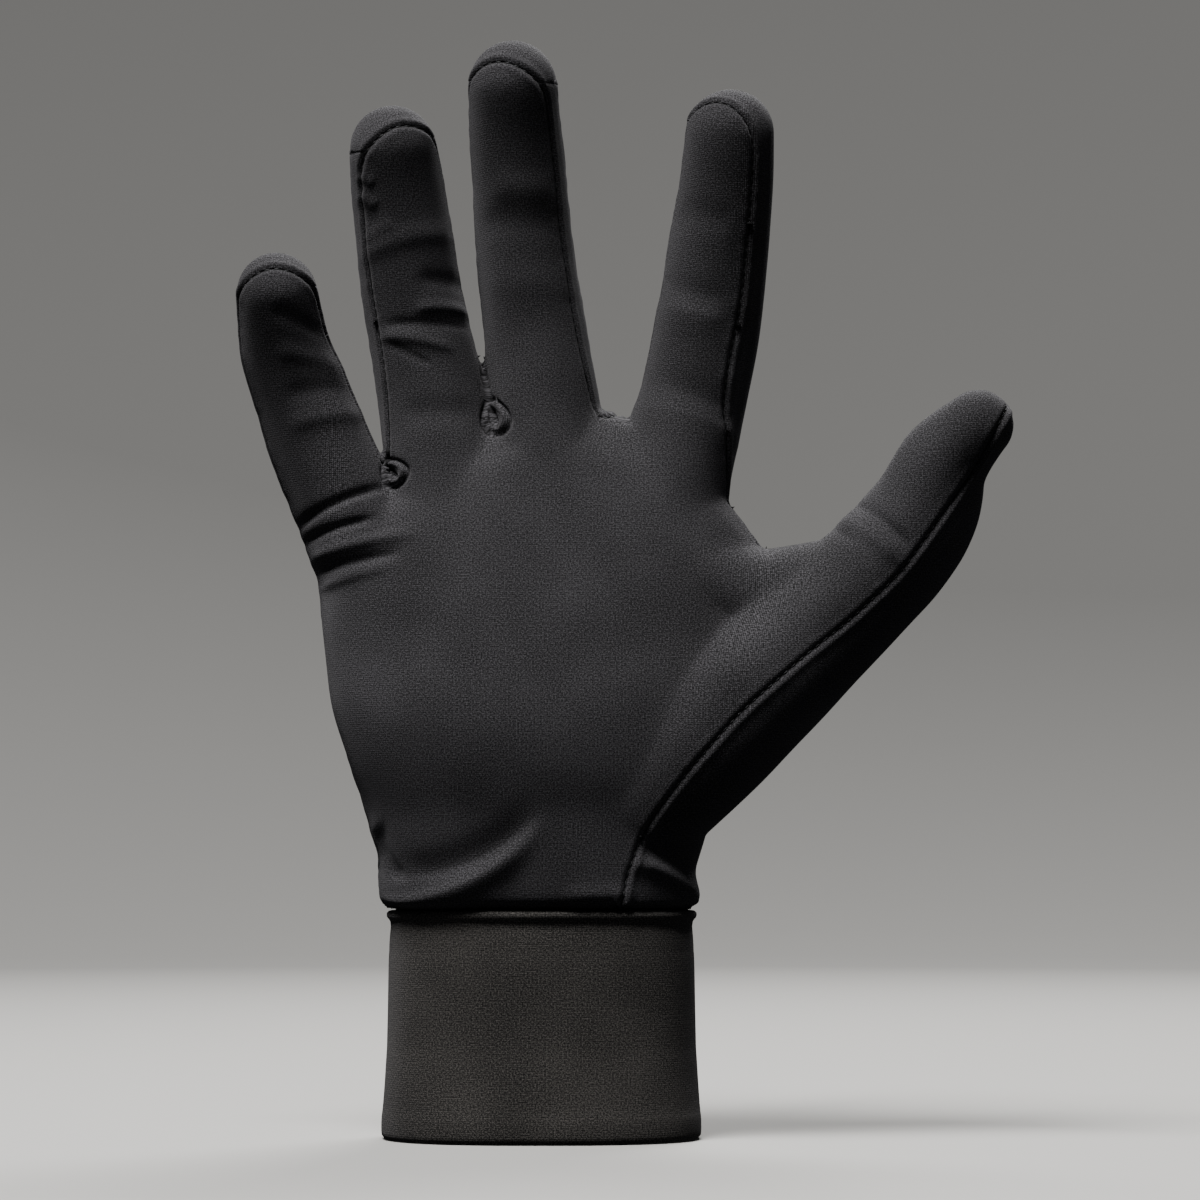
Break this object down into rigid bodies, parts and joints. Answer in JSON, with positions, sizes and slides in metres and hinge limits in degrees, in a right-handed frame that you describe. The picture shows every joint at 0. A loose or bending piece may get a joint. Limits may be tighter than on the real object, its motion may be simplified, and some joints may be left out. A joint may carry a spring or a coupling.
{
  "type": "glove liner",
  "caption": "Thin knit glove liner for the right hand, kept in the form of the hand that wears it, with side strips between the fingers and a doubled cuff.",
  "frame": {"origin": "centre of the cuff's open bottom edge, where the hand goes in", "axes": "+Z towards the fingertips, the glove's longest way; +X towards the thumb; +Y out of the back of the hand, the glove's shortest way, and the palm faces -Y"},
  "size_m": [0.1658, 0.0514, 0.2357],
  "materials": {
    "knit": "matt fine black jersey knit with a soft grey sheen",
    "cuff_knit": "matt fine black knit, a little greyer, doubled"
  },
  "bodies": {
    "root": {"palm_panel": "knit", "back_panel": "knit", "fourchette_little_ring": "knit", "fourchette_ring_middle": "knit", "fourchette_middle_index": "knit", "cuff": "cuff_knit"}
  },
  "joints": []
}
